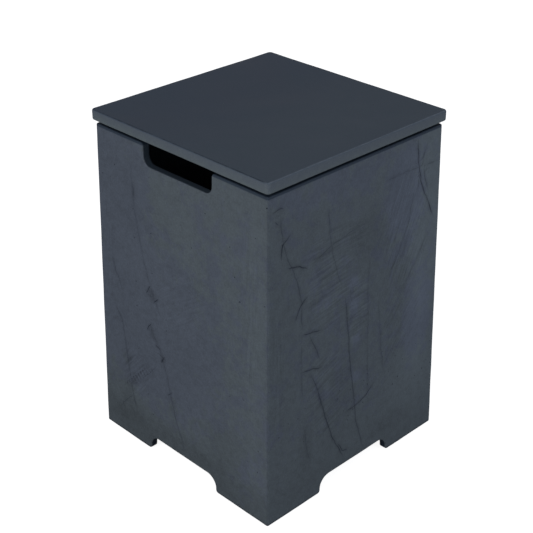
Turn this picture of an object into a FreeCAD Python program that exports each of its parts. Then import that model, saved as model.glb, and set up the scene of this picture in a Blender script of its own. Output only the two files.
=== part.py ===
import FreeCAD, Part
import os
import Sketcher

# Square cover for a portable gas cylinder that doubles as a side table: a cast concrete shell,
# open at the bottom and at the top, and a loose cast table top that lifts off it.
#
# Frame: origin on the floor under the centre of the cover, +Z up, front (with a hand notch) at -Y.
# All lengths are in millimetres.

# The driving sizes: name, amount, what it measures.
DRIVING_SIZES = [
    ("RimWidth", 400, "outer width of the square shell at its rim"),
    ("WallFlare", 12, "how far each wall leans out from the rim down to the base"),
    ("ShellHeight", 591, "height of the casting from the underside of its feet to its rim"),
    ("WallThickness", 15, "thickness of the cast walls"),
    ("ArrisRadius", 4, "rounding of the four upright outer corners"),
    ("InnerCornerRadius", 25, "fillet in the four upright inner corners"),
    ("EdgeEase", 2.5, "rounding of the outer edges at the rim, the base, the notches and the cut-outs"),
    ("InnerBevel", 1.5, "bevel on the inner edges at the same places"),
    ("CutoutWidth", 170, "clear width of the hose cut-out in the foot of each wall"),
    ("CutoutHeight", 29, "height of that cut-out above the underside of the feet"),
    ("CutoutCornerRadius", 21, "hollow corners at the head of the cut-out"),
    ("ToeRadius", 6, "rounded toe of each foot beside the cut-out"),
    ("NotchWidth", 160, "clear width of the hand notch in the rim"),
    ("NotchDepth", 37, "depth of the hand notch below the rim"),
    ("NotchCornerRadius", 15, "hollow corners at the floor of the notch"),
    ("NotchLipRadius", 6, "rounded lips where the notch meets the rim"),
    ("FootPadDiameter", 18, "rubber pad under each foot"),
    ("FootPadThickness", 3, "its thickness, which lifts the casting off the floor"),
    ("FootPadInset", 5, "from the outer face of the base to the edge of the pad"),
    ("BumperDiameter", 12, "rubber bumper under each corner of the table top"),
    ("BumperThickness", 6, "its thickness, which is the gap between the rim and the top"),
    ("BumperInset", 5.5, "from the outer face of the rim to the edge of the bumper"),
    ("RubberBevel", 0.6, "bevelled lower edge of pads and bumpers"),
    ("TopOverhang", 5, "how far the table top stands out past the rim"),
    ("TopThickness", 19, "thickness of the table top"),
    ("TopCornerRadius", 7, "upright corners of the table top"),
    ("TopEdgeEase", 3, "rounding of the upper and lower edges of the table top"),
    ("LocatorClearance", 2, "play between a locating block and the walls"),
    ("LocatorLength", 52, "leg of a locating block along each wall"),
    ("LocatorBreadth", 18, "breadth of each leg at its end"),
    ("LocatorHeight", 16, "how far a block hangs below the table top"),
    ("LocatorLeadIn", 2, "chamfer round the lower edge of a block"),
    ("LocatorEase", 3, "rounding of the upright edges at the ends of a block's legs"),
    ("ScrewEndDistance", 11, "from the end of a block's leg to its screw"),
    ("ScrewDiameter", 5, "shank of a locator screw"),
    ("ScrewLength", 20, "length of the shank under the head"),
    ("ScrewHeadDiameter", 9.5, "pan head of a locator screw"),
    ("ScrewHeadHeight", 3.7, "height of the head"),
    ("ScrewHeadBevel", 1.2, "bevel round the crown of the head"),
    ("RecessLength", 4.8, "cross recess in the head, from tip to tip"),
    ("RecessWidth", 1.1, "width of each arm of the recess"),
    ("RecessDepth", 1.9, "depth of the recess"),
    ("ScrewPlay", 0.25, "radial play of the shank in the block"),
    ("CounterborePlay", 0.6, "radial play of the head in its counterbore"),
    ("CounterboreDepth", 4.6, "depth of the counterbore that hides the head"),
    ("InsertDiameter", 8, "brass insert cast into the table top"),
    ("InsertLength", 12, "length of the insert"),
    ("InsertKeyDepth", 0.6, "depth of the groove that keys the insert into the concrete"),
    ("InsertKeyLength", 4, "length of that groove"),
    ("FitPlay", 0.05, "radial play of an insert in its socket and of a shank in an insert"),
]

# How far a cutting outline runs out past the edge of the solid.
CUT_BEYOND = 30

# The least straight side that is left between two roundings of an opening.
LEAST_STRAIGHT = 1

# Two places nearer than this are the same place.
SAME_PLACE = 0.01

doc = FreeCAD.newDocument("tank_cover_table")
sheet = doc.addObject("Spreadsheet::Sheet", "Sizes")
for row, (alias, amount, meaning) in enumerate(DRIVING_SIZES, start=1):
    sheet.set("A%d" % row, alias)
    sheet.set("B%d" % row, str(amount))
    sheet.set("C%d" % row, meaning)
    sheet.setAlias("B%d" % row, alias)
doc.recompute()


# A length that carries its amount, to draw with, and its expression on the sheet, to drive with.
class Measure:
    def __init__(self, amount, text):
        self.amount = amount
        self.text = text

    def joined(self, sign, other, amount):
        return Measure(amount, "(%s %s %s)" % (self.text, sign, other.text))

    def __add__(self, other):
        other = measure(other)
        return self.joined("+", other, self.amount + other.amount)

    def __sub__(self, other):
        other = measure(other)
        return self.joined("-", other, self.amount - other.amount)

    def __mul__(self, other):
        other = measure(other)
        return self.joined("*", other, self.amount * other.amount)

    def __truediv__(self, other):
        other = measure(other)
        return self.joined("/", other, self.amount / other.amount)

    def __neg__(self):
        return measure(0) - self


def measure(value):
    if isinstance(value, Measure):
        return value
    return Measure(float(value), str(value))


def smaller(first, second):
    return Measure(min(first.amount, second.amount), "min(%s; %s)" % (first.text, second.text))


def size(alias):
    return Measure(float(sheet.get(alias)), "Sizes." + alias)


# Levels and places that several pieces share.
rim_level = size("FootPadThickness") + size("ShellHeight")
top_underside = rim_level + size("BumperThickness")
rim_half = size("RimWidth") / 2
base_half = rim_half + size("WallFlare")
locator_corner = rim_half - size("WallThickness") - size("LocatorClearance")
screw_along = size("LocatorLength") - size("ScrewEndDistance")
screw_across = size("LocatorBreadth") / 2
screw_radius = size("ScrewDiameter") / 2
insert_radius = size("InsertDiameter") / 2

# The four corners: name, side along X, side along Y, and the turn about Z of a piece that is
# drawn for the back right corner.
CORNERS = [
    ("front_left", -1, -1, 180),
    ("front_right", 1, -1, 270),
    ("back_right", 1, 1, 0),
    ("back_left", -1, 1, 90),
]


# Drawing helpers

def near(first, second):
    return abs(first - second) < SAME_PLACE


def add_body(name):
    body = doc.addObject("PartDesign::Body", name)
    body.Label = name
    return body


def place(piece, x, y, z, turn=0):
    upright = FreeCAD.Vector(0, 0, 1)
    piece.Placement = FreeCAD.Placement(FreeCAD.Vector(), FreeCAD.Rotation(upright, turn))
    for axis, distance in (("x", x), ("y", y), ("z", z)):
        piece.setExpression("Placement.Base." + axis, measure(distance).text)


def add_sketch(body, name, role, level=0):
    sketch = body.newObject("Sketcher::SketchObject", name)
    plane = next(feature for feature in body.Origin.OriginFeatures if feature.Role == role)
    sketch.AttachmentSupport = [(plane, "")]
    sketch.MapMode = "FlatFace"
    sketch.setExpression("AttachmentOffset.Base.z", measure(level).text)
    return sketch


def drive(sketch, kind, place_in_sketch, distance):
    """Adds a constraint whose value is driven by the sheet."""
    index = sketch.addConstraint(Sketcher.Constraint(kind, *place_in_sketch, distance.amount))
    sketch.setExpression("Constraints[%d]" % index, distance.text)


def draw_outline(sketch, corners):
    """A closed outline with straight sides, each corner pinned to the sketch's axes."""
    points = [FreeCAD.Vector(x.amount, y.amount, 0) for x, y in corners]
    count = len(points)
    for index in range(count):
        sketch.addGeometry(Part.LineSegment(points[index], points[(index + 1) % count]), False)
    for index in range(count):
        sketch.addConstraint(Sketcher.Constraint("Coincident", index, 2, (index + 1) % count, 1))
    for index, (x, y) in enumerate(corners):
        drive(sketch, "DistanceX", (-1, 1, index, 1), x)
        drive(sketch, "DistanceY", (-1, 1, index, 1), y)


def draw_rectangle(sketch, half_x, half_y):
    draw_outline(sketch, [(-half_x, -half_y), (half_x, -half_y), (half_x, half_y), (-half_x, half_y)])


def draw_circle(sketch, x, y, radius):
    centre = FreeCAD.Vector(x.amount, y.amount, 0)
    upright = FreeCAD.Vector(0, 0, 1)
    index = sketch.addGeometry(Part.Circle(centre, upright, radius.amount), False)
    drive(sketch, "DistanceX", (-1, 1, index, 3), x)
    drive(sketch, "DistanceY", (-1, 1, index, 3), y)
    drive(sketch, "Radius", (index,), radius)


def draw_rounded_outline(sketch, corners):
    """A closed outline of level and upright sides in turn, the first one level. Each corner is
    x, y and the radius that rounds it, or None where it stays sharp."""
    count = len(corners)
    points = [FreeCAD.Vector(x.amount, y.amount, 0) for x, y, radius in corners]
    steps = []
    for index in range(count):
        step = points[(index + 1) % count] - points[index]
        steps.append(step.normalize())
    rounding = [radius.amount if radius else 0 for x, y, radius in corners]
    for index in range(count):
        after = (index + 1) % count
        start = points[index] + steps[index] * rounding[index]
        end = points[after] - steps[index] * rounding[after]
        sketch.addGeometry(Part.LineSegment(start, end), False)
        x, y, radius = corners[index]
        if index % 2 == 0:
            sketch.addConstraint(Sketcher.Constraint("Horizontal", index))
            drive(sketch, "DistanceY", (-1, 1, index, 1), y)
        else:
            sketch.addConstraint(Sketcher.Constraint("Vertical", index))
            drive(sketch, "DistanceX", (-1, 1, index, 1), x)
    for index, (x, y, radius) in enumerate(corners):
        before = (index - 1) % count
        if radius is None:
            sketch.addConstraint(Sketcher.Constraint("Coincident", before, 2, index, 1))
            continue
        start = points[index] - steps[before] * rounding[index]
        end = points[index] + steps[index] * rounding[index]
        centre = start + steps[index] * rounding[index]
        inward = (points[index] - centre).normalize() * rounding[index]
        arc = sketch.addGeometry(Part.Arc(start, centre + inward, end), False)
        starts_here = near(sketch.getPoint(arc, 1).distanceToPoint(start), 0)
        first, last = (1, 2) if starts_here else (2, 1)
        sketch.addConstraint(Sketcher.Constraint("Tangent", before, 2, arc, first))
        sketch.addConstraint(Sketcher.Constraint("Tangent", arc, last, index, 1))
        drive(sketch, "Radius", (arc,), radius)


def pad(body, sketch, length):
    feature = body.newObject("PartDesign::Pad", sketch.Name + "_pad")
    feature.Profile = sketch
    feature.setExpression("Length", measure(length).text)
    return feature


def pocket(body, sketch, depth=None, reverse=False):
    """Cuts the sketch away, through everything on both sides of it where no depth is given."""
    feature = body.newObject("PartDesign::Pocket", sketch.Name + "_pocket")
    feature.Profile = sketch
    feature.Reversed = reverse
    if depth is None:
        feature.Type = "ThroughAll"
        feature.SideType = "Symmetric"
    else:
        feature.setExpression("Length", measure(depth).text)
    doc.recompute()
    return feature


def revolve(body, sketch):
    feature = body.newObject("PartDesign::Revolution", sketch.Name + "_turned")
    feature.Profile = sketch
    feature.ReferenceAxis = (sketch, ["V_Axis"])
    feature.Angle = 360
    return feature


def edge_names(feature, chosen):
    """Names of the feature's edges that the test picks by their two ends."""
    names = []
    for number, edge in enumerate(feature.Shape.Edges, start=1):
        if chosen(edge.Vertexes[0].Point, edge.Vertexes[-1].Point):
            names.append("Edge%d" % number)
    return names


def round_edges(body, name, base, chosen, radius):
    """A fillet on the chosen edges of the base feature."""
    doc.recompute()
    feature = body.newObject("PartDesign::Fillet", name)
    feature.Base = (base, edge_names(base, chosen))
    feature.setExpression("Radius", radius.text)
    return feature


def bevel_edges(body, name, base, chosen, breadth):
    """A chamfer on the chosen edges of the base feature."""
    doc.recompute()
    feature = body.newObject("PartDesign::Chamfer", name)
    feature.Base = (base, edge_names(base, chosen))
    feature.setExpression("Size", breadth.text)
    return feature


# The cast shell

def shell_half_width(level):
    """Half the shell's outer width at a level above the underside of its feet."""
    share_below_rim = 1 - level / size("ShellHeight").amount
    return rim_half.amount + size("WallFlare").amount * share_below_rim


def on_skin(point, inset):
    """True where a point lies on the wall's outer face (inset 0) or on its inner face."""
    reach = max(abs(point.x), abs(point.y))
    return near(reach, shell_half_width(point.z) - inset)


def is_upright(start, end):
    """True on the edges that run from the base to the rim."""
    return near(abs(start.z - end.z), size("ShellHeight").amount)


def is_skin_edge(start, end, inset):
    """True on the edges where a wall's outer face (inset 0) or its inner face ends: at the rim, the
    base, a notch or a cut-out."""
    return on_skin(start, inset) and on_skin(end, inset) and not is_upright(start, end)


def draw_opening(sketch, edge, inward, width, depth, corner_radius, lip_radius):
    """An opening that starts at an edge of the wall and runs inward (1 is up, -1 is down)."""
    half = width / 2
    stub = half + lip_radius * 2
    outside = edge - inward * CUT_BEYOND
    head = edge + depth * inward
    draw_rounded_outline(sketch, [
        (-stub, outside, None),
        (stub, outside, None),
        (stub, edge, None),
        (half, edge, lip_radius),
        (half, head, corner_radius),
        (-half, head, corner_radius),
        (-half, edge, lip_radius),
        (-stub, edge, None),
    ])


def add_wedge(body, name, kind, half_below, half_above, height):
    """A square frustum with flat sides, standing on the body's XY plane."""
    wedge = body.newObject("PartDesign::" + kind, name)
    standing = next(feature for feature in body.Origin.OriginFeatures if feature.Role == "XZ_Plane")
    wedge.AttachmentSupport = [(standing, "")]
    wedge.MapMode = "FlatFace"
    sides = {
        "Xmin": -half_below,
        "Xmax": half_below,
        "Zmin": -half_below,
        "Zmax": half_below,
        "X2min": -half_above,
        "X2max": half_above,
        "Z2min": -half_above,
        "Z2max": half_above,
        "Ymin": measure(0),
        "Ymax": height,
    }
    for side, distance in sides.items():
        wedge.setExpression(side, distance.text)
    return wedge


def make_cover_body():
    body = add_body("cover_body")
    place(body, 0, 0, size("FootPadThickness"))
    height = size("ShellHeight")
    wall = size("WallThickness")

    add_wedge(body, "drafted_block", "AdditiveWedge", base_half, rim_half, height)
    hollow = add_wedge(body, "hollow", "SubtractiveWedge", base_half - wall, rim_half - wall, height)

    def is_inner_corner(start, end):
        return is_upright(start, end) and on_skin(start, wall.amount)

    def is_outer_corner(start, end):
        return is_upright(start, end) and on_skin(start, 0)

    hollowed = round_edges(body, "inner_corners", hollow, is_inner_corner, size("InnerCornerRadius"))
    round_edges(body, "arrises", hollowed, is_outer_corner, size("ArrisRadius"))
    doc.recompute()

    # All four walls have a hose cut-out, which opens at the underside of the feet.
    head_room = size("CutoutHeight") - size("ToeRadius") - LEAST_STRAIGHT
    head_radius = smaller(size("CutoutCornerRadius"), head_room)
    for name, role in (("front_and_back", "XZ_Plane"), ("left_and_right", "YZ_Plane")):
        cutouts = add_sketch(body, "hose_cutouts_" + name, role)
        draw_opening(cutouts, measure(0), 1, size("CutoutWidth"), size("CutoutHeight"),
                     head_radius, size("ToeRadius"))
        pocket(body, cutouts)

    # The front and back walls have a hand notch, cut down from the rim.
    floor_room = size("NotchDepth") - size("NotchLipRadius") - LEAST_STRAIGHT
    floor_radius = smaller(size("NotchCornerRadius"), floor_room)
    notches = add_sketch(body, "hand_notches", "XZ_Plane")
    draw_opening(notches, height, -1, size("NotchWidth"), size("NotchDepth"),
                 floor_radius, size("NotchLipRadius"))
    notched = pocket(body, notches)

    def is_outer_edge(start, end):
        return is_skin_edge(start, end, 0)

    def is_inner_edge(start, end):
        return is_skin_edge(start, end, wall.amount)

    eased = round_edges(body, "eased_edges", notched, is_outer_edge, size("EdgeEase"))
    bevel_edges(body, "inner_bevels", eased, is_inner_edge, size("InnerBevel"))
    return body


# The cast table top

def make_table_top():
    body = add_body("table_top")
    place(body, 0, 0, top_underside)
    half = rim_half + size("TopOverhang")
    thickness = size("TopThickness")
    outline = add_sketch(body, "top_outline", "XY_Plane")
    draw_rectangle(outline, half, half)
    slab = pad(body, outline, thickness)

    def is_slab_corner(start, end):
        return not near(start.z, end.z)

    def is_slab_rim(start, end):
        return near(start.z, end.z) and near(max(abs(start.x), abs(start.y)), half.amount)

    cornered = round_edges(body, "top_corners", slab, is_slab_corner, size("TopCornerRadius"))
    round_edges(body, "top_edges", cornered, is_slab_rim, size("TopEdgeEase"))

    # Blind sockets in the underside, two for each locating block, hold the brass inserts.
    sockets = add_sketch(body, "insert_sockets", "XY_Plane")
    for x, y in screw_places():
        draw_circle(sockets, x, y, insert_radius + size("FitPlay"))
    pocket(body, sockets, size("InsertLength"), reverse=True)
    return body


def screw_places():
    """The eight screw axes: in each corner, one along each leg of its locating block."""
    places = []
    for name, side_x, side_y, turn in CORNERS:
        far = locator_corner - screw_along
        close = locator_corner - screw_across
        places.append((far * side_x, close * side_y))
        places.append((close * side_x, far * side_y))
    return places


# Rubber pads and bumpers

def make_rubber_disc(name, diameter, thickness, x, y, z):
    """A round stick-on pad with its lower edge bevelled."""
    body = add_body(name)
    place(body, x, y, z)
    outline = add_sketch(body, name + "_outline", "XY_Plane")
    draw_circle(outline, measure(0), measure(0), diameter / 2)
    disc = pad(body, outline, thickness)

    def is_lower_rim(start, end):
        return near(start.z, 0) and near(end.z, 0)

    bevel_edges(body, name + "_lower_edge", disc, is_lower_rim, size("RubberBevel"))
    return body


def make_pads_and_bumpers():
    pieces = []
    pad_place = base_half - size("FootPadInset") - size("FootPadDiameter") / 2
    bumper_place = rim_half - size("BumperInset") - size("BumperDiameter") / 2
    for name, side_x, side_y, turn in CORNERS:
        pieces.append(make_rubber_disc(
            "foot_pad_" + name, size("FootPadDiameter"), size("FootPadThickness"),
            pad_place * side_x, pad_place * side_y, 0))
        pieces.append(make_rubber_disc(
            "lid_bumper_" + name, size("BumperDiameter"), size("BumperThickness"),
            bumper_place * side_x, bumper_place * side_y, rim_level))
    return pieces


# Locating blocks under the table top

def make_locator(name, side_x, side_y, turn):
    """A moulded corner block. Its outer sides run along two walls, and its outer corner follows
    the fillet in the shell's inner corner."""
    body = add_body(name)
    place(body, locator_corner * side_x, locator_corner * side_y,
          top_underside - size("LocatorHeight"), turn)
    leg = size("LocatorLength")
    breadth = size("LocatorBreadth")
    corner_radius = size("InnerCornerRadius") - size("LocatorClearance")
    outline = add_sketch(body, name + "_outline", "XY_Plane")
    nothing = measure(0)
    draw_outline(outline, [
        (nothing, nothing),
        (-leg, nothing),
        (-leg, -breadth),
        (-breadth, -leg),
        (nothing, -leg),
    ])
    block = pad(body, outline, size("LocatorHeight"))

    def is_outer_corner(start, end):
        return not near(start.z, end.z) and near(start.x, 0) and near(start.y, 0)

    def is_leg_end(start, end):
        at_end = near(start.x, -leg.amount) or near(start.y, -leg.amount)
        return not near(start.z, end.z) and at_end

    def is_lower_rim(start, end):
        return near(start.z, 0) and near(end.z, 0)

    rounded = round_edges(body, name + "_corner", block, is_outer_corner, corner_radius)
    eased = round_edges(body, name + "_leg_ends", rounded, is_leg_end, size("LocatorEase"))
    bevel_edges(body, name + "_lead_in", eased, is_lower_rim, size("LocatorLeadIn"))
    doc.recompute()

    holes = add_sketch(body, name + "_holes", "XY_Plane")
    draw_circle(holes, -screw_along, -screw_across, screw_radius + size("ScrewPlay"))
    draw_circle(holes, -screw_across, -screw_along, screw_radius + size("ScrewPlay"))
    pocket(body, holes)
    counterbores = add_sketch(body, name + "_counterbores", "XY_Plane")
    head_space = size("ScrewHeadDiameter") / 2 + size("CounterborePlay")
    draw_circle(counterbores, -screw_along, -screw_across, head_space)
    draw_circle(counterbores, -screw_across, -screw_along, head_space)
    pocket(body, counterbores, size("CounterboreDepth"), reverse=True)
    return body


# Screws and their inserts

def make_screw(name, x, y):
    """A pan-head machine screw with a cross recess, head down, its bearing face at level 0."""
    body = add_body(name)
    place(body, x, y, top_underside - size("LocatorHeight") + size("CounterboreDepth"))
    nothing = measure(0)
    head_radius = size("ScrewHeadDiameter") / 2
    head_height = size("ScrewHeadHeight")
    profile = add_sketch(body, name + "_profile", "XZ_Plane")
    draw_outline(profile, [
        (nothing, -head_height),
        (head_radius, -head_height),
        (head_radius, nothing),
        (screw_radius, nothing),
        (screw_radius, size("ScrewLength")),
        (nothing, size("ScrewLength")),
    ])
    turned = revolve(body, profile)

    def is_head_rim(start, end):
        on_rim = near((start.x ** 2 + start.y ** 2) ** 0.5, head_radius.amount)
        return on_rim and near(start.z, -head_height.amount)

    bevel_edges(body, name + "_head", turned, is_head_rim, size("ScrewHeadBevel"))
    doc.recompute()
    arm_length = size("RecessLength") / 2
    arm_width = size("RecessWidth") / 2
    for arm, half_x, half_y in (("a", arm_length, arm_width), ("b", arm_width, arm_length)):
        recess = add_sketch(body, name + "_recess_" + arm, "XY_Plane", -head_height)
        draw_rectangle(recess, half_x, half_y)
        pocket(body, recess, size("RecessDepth"), reverse=True)
    return body


def make_insert(name, x, y):
    """A brass insert: a bush with a keying groove round its middle."""
    body = add_body(name)
    place(body, x, y, top_underside)
    bore = screw_radius + size("FitPlay")
    length = size("InsertLength")
    groove_low = (length - size("InsertKeyLength")) / 2
    groove_high = (length + size("InsertKeyLength")) / 2
    groove_radius = insert_radius - size("InsertKeyDepth")
    nothing = measure(0)
    profile = add_sketch(body, name + "_profile", "XZ_Plane")
    draw_outline(profile, [
        (bore, nothing),
        (insert_radius, nothing),
        (insert_radius, groove_low),
        (groove_radius, groove_low),
        (groove_radius, groove_high),
        (insert_radius, groove_high),
        (insert_radius, length),
        (bore, length),
    ])
    revolve(body, profile)
    return body


def make_group(name, members):
    group = doc.addObject("Part::Compound", name)
    group.Label = name
    group.Links = members
    return group


def make_fastenings():
    screws = []
    inserts = []
    for number, (x, y) in enumerate(screw_places(), start=1):
        screws.append(make_screw("screw_%d" % number, x, y))
        inserts.append(make_insert("insert_%d" % number, x, y))
    return [make_group("locator_screws", screws), make_group("screw_inserts", inserts)]


# Build, check and write

def check_document():
    """Stops the build where an object failed or a shape is missing or broken."""
    for thing in doc.Objects:
        if "Invalid" in thing.State or "Error" in thing.State:
            raise RuntimeError("%s failed: %s" % (thing.Name, thing.State))


def write_pieces(pieces):
    os.makedirs("parts", exist_ok=True)
    for piece in pieces:
        shape = piece.Shape
        if shape.isNull() or not shape.isValid():
            raise RuntimeError("%s has no valid shape" % piece.Label)
    for piece in pieces:
        piece.Shape.exportStep("parts/%s.step" % piece.Label)
        print("%-28s solids %d  volume %.1f cm3" % (
            piece.Label, len(piece.Shape.Solids), piece.Shape.Volume / 1000))


pieces = [make_cover_body(), make_table_top()]
pieces += make_pads_and_bumpers()
for corner_name, along_x, along_y, quarter_turn in CORNERS:
    pieces.append(make_locator("lid_locator_" + corner_name, along_x, along_y, quarter_turn))
pieces += make_fastenings()
doc.recompute()
check_document()
write_pieces(pieces)
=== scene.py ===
import math

import bmesh
import bpy
import numpy as np
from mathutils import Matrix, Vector, noise


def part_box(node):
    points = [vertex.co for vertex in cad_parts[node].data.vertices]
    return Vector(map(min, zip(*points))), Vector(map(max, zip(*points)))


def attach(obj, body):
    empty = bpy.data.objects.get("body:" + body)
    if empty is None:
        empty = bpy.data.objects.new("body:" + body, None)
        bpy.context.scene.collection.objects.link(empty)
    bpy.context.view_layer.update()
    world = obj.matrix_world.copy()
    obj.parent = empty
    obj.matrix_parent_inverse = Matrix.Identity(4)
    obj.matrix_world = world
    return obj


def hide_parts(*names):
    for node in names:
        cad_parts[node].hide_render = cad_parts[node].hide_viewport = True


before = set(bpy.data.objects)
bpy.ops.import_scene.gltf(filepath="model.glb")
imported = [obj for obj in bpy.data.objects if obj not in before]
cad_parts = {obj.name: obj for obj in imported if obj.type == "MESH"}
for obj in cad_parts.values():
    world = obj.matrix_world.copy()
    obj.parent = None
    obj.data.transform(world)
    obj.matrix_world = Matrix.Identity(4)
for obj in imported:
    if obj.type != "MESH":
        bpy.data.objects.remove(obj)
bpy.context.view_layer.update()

# Camera
# A long lens looks down on the upright corner between the front wall, which has a hand notch, and
# the right wall. The focal length is counted in pixels of a picture 533 wide.
PICTURE_WIDTH = 533
FOCAL_PIXELS = 1201.5
SENSOR_WIDTH = 36.0
CAMERA_PLACE = (1.2996, -1.2847, 1.3280)
CAMERA_AZIMUTH = 45.458
CAMERA_ELEVATION = 28.680

lens = bpy.data.cameras.new("photo_lens")
lens.sensor_width = SENSOR_WIDTH
lens.lens = SENSOR_WIDTH * FOCAL_PIXELS / PICTURE_WIDTH
camera = bpy.data.objects.new("photo_camera", lens)
camera.location = CAMERA_PLACE
camera.rotation_euler = (math.radians(90 - CAMERA_ELEVATION), 0, math.radians(CAMERA_AZIMUTH))
bpy.context.scene.collection.objects.link(camera)
bpy.context.scene.camera = camera


# Studio floor
# A wide sheet of pale studio paper. It glows for the camera, so that it shows white, and its matt
# surface keeps the soft shadow of the cover.
FLOOR_HALF = 12.0
FLOOR_PAPER = "#B4B4B4"
FLOOR_GLOW = 0.91


def linear(code):
    """The linear colour, with an alpha of 1, of an sRGB hex code."""
    shares = [int(code[place:place + 2], 16) / 255 for place in (1, 3, 5)]
    return [s / 12.92 if s <= 0.04045 else ((s + 0.055) / 1.055) ** 2.4 for s in shares] + [1.0]


def add_node(tree, kind, inputs=(), **settings):
    """Adds a node to the tree. inputs are pairs of a socket in use, by its name or number, and its
    value, the hex code of its colour, or the socket or node that feeds it."""
    new = tree.nodes.new(kind)
    for name, value in settings.items():
        setattr(new, name, value)
    in_use = [socket for socket in new.inputs if socket.enabled]
    for key, value in inputs:
        socket = in_use[key] if isinstance(key, int) else next(s for s in in_use if s.name == key)
        if isinstance(value, bpy.types.Node):
            value = next(output for output in value.outputs if output.enabled)
        if isinstance(value, bpy.types.NodeSocket):
            tree.links.new(value, socket)
        else:
            socket.default_value = linear(value) if isinstance(value, str) else value
    return new


def add_piece(name, mesh, *materials):
    """Puts a mesh in the scene as a piece with these materials."""
    piece = bpy.data.objects.new(name, mesh)
    bpy.context.scene.collection.objects.link(piece)
    for material in materials:
        piece.data.materials.append(material)
    return piece


def start_material(name):
    """A new material with an empty tree, and that tree."""
    material = bpy.data.materials.new(name)
    material.use_nodes = True
    material.node_tree.nodes.clear()
    return material, material.node_tree


def make_studio_paper():
    """Dull paper that glows for the camera alone."""
    material, tree = start_material("studio_paper")
    paper = add_node(tree, "ShaderNodeBsdfDiffuse", [("Color", FLOOR_PAPER)])
    seen = add_node(tree, "ShaderNodeLightPath").outputs["Is Camera Ray"]
    glow = add_node(tree, "ShaderNodeMath", [(0, seen), (1, FLOOR_GLOW)], operation="MULTIPLY")
    light = add_node(tree, "ShaderNodeEmission", [("Strength", glow)])
    both = add_node(tree, "ShaderNodeAddShader", [(0, paper), (1, light)])
    add_node(tree, "ShaderNodeOutputMaterial", [("Surface", both)])
    return material


floor_mesh = bpy.data.meshes.new("studio_floor")
floor_mesh.from_pydata(
    [(x * FLOOR_HALF, y * FLOOR_HALF, 0) for x, y in ((-1, -1), (1, -1), (1, 1), (-1, 1))],
    [], [(0, 1, 2, 3)])
add_piece("studio_floor", floor_mesh, make_studio_paper())


# Studio lamps
# Two big soft boxes, one for each wall in view, and an even sky that shows white to the camera.
# They light a surface at about the level at which its colour renders as written.
SKY_LEVEL = 0.34
SKY_TINT = "#F4F7FF"
SKY_SEEN = "#FFFFFF"
LAMPS = [
    # name, place, width and height of the soft box, power in watts, tint
    ("front_soft_box", (0.3, -3.4, 1.1), (1.8, 1.8), 64, "#FFFFFF"),
    ("right_soft_box", (3.4, 0.7, 1.1), (1.8, 1.8), 42, "#F3F7FF"),
]
AIM = Vector((0, 0, 0.3))


def make_sky():
    """An even sky, which the camera sees white and which lights the cover less."""
    world = bpy.data.worlds.new("even_sky")
    world.use_nodes = True
    tree = world.node_tree
    tree.nodes.clear()
    seen = add_node(tree, "ShaderNodeLightPath").outputs["Is Camera Ray"]
    level = add_node(tree, "ShaderNodeMapRange", [
        ("Value", seen), ("To Min", SKY_LEVEL), ("To Max", 1.0)])
    tint = add_node(tree, "ShaderNodeMix", [("Factor", seen), ("A", SKY_TINT), ("B", SKY_SEEN)],
                    data_type="RGBA")
    light = add_node(tree, "ShaderNodeBackground", [("Color", tint), ("Strength", level)])
    add_node(tree, "ShaderNodeOutputWorld", [("Surface", light)])
    bpy.context.scene.world = world


make_sky()
for name, place, (width, height), power, tint in LAMPS:
    lamp = bpy.data.lights.new(name, "AREA")
    lamp.shape = "RECTANGLE"
    lamp.size = width
    lamp.size_y = height
    lamp.energy = power
    lamp.color = linear(tint)[:3]
    holder = bpy.data.objects.new(name, lamp)
    holder.location = place
    holder.rotation_euler = (AIM - Vector(place)).to_track_quat("-Z", "Y").to_euler()
    bpy.context.scene.collection.objects.link(holder)
bpy.context.scene.view_settings.view_transform = "Standard"


# Cover body
# One casting of fine concrete and glass fibre, coloured slate grey in the mix: four 15 mm walls, with
# a hand notch in the front and back rim and a hose cut-out in the foot of each. A film-lined mould
# left it matt and cloudy, with dark crease marks, a few pinholes and rubbed edges.
# Shade is also painted into the casting's colour: in the pinholes, low on the walls, along the foot, on
# the raw faces and in a band under the rim.
WALL = 0.015
ARRIS_RADIUS = 0.004
INNER_CORNER_RADIUS = 0.025
EDGE_EASE = 0.0025
FLARE = 0.012
NOTCH = {"width": 0.160, "depth": 0.037, "corner": 0.015, "lip": 0.006}
CUTOUT = {"width": 0.170, "depth": 0.029, "corner": 0.021, "lip": 0.006}

# How the casting is meshed. Turns between faces are in degrees.
CUTTER_OVERLAP = 0.02
ARC_STEPS = 8
EASE_STEPS = 4
MERGE_DISTANCE = 1e-6
FLAT_TURN = 0.5
SHARP_TURN = 40
WORN_TURN = 15
GRID = 0.0065

# How uneven the casting is: slow swells with ripples on them, and edges that drift.
UNEVEN_SEED = 7
UNEVEN_DEPTH = 0.00035
UNEVEN_LENGTH = 0.09
RIPPLES_PER_SWELL = 4
RIPPLE_SHARE = 0.2
RIPPLE_SHIFT = Vector((7, 3, 5))
EDGE_DRIFT = 0.0003
EDGE_DRIFT_LENGTH = 0.05

SLATE = "#454C57"
SLATE_CLOUD = "#484F5A"
SLATE_GREY = "#495157"
# The next colour darkens crease lines and arris lines, and paints shade in the pinholes and along the
# foot.
DARK_MARK_AND_SHADE = "#1B212C"
RUBBED_EDGE = "#5C646E"
# The raw faces' colour is partly raw concrete and partly painted shade; the next colour is painted shade
# at their foot and under the table top.
RAW_FACE_AND_SHADE = "#333E49"
DEEP_SHADE = "#1E2A38"

# Patterns of the walls: size in millimetres, detail, roughness and how far each is warped.
WALL_PATTERNS = {
    "clouds": (170, 4, 0.5, 0.9),
    "mottle": (13, 7, 0.72, 0.3),
    "grit": (3.2, 3, 0.7, 0),
    "islands": (34, 9, 0.78, 0.3),
    "wander": (14, 3, 0.5, 0),
    "broken": (22, 2, 0.5, 0),
}
STROKE_LENGTH_MM = 60
STROKE_WIDTH_MM = 4.5
PINHOLE_SPACING_MM = 11

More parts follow.
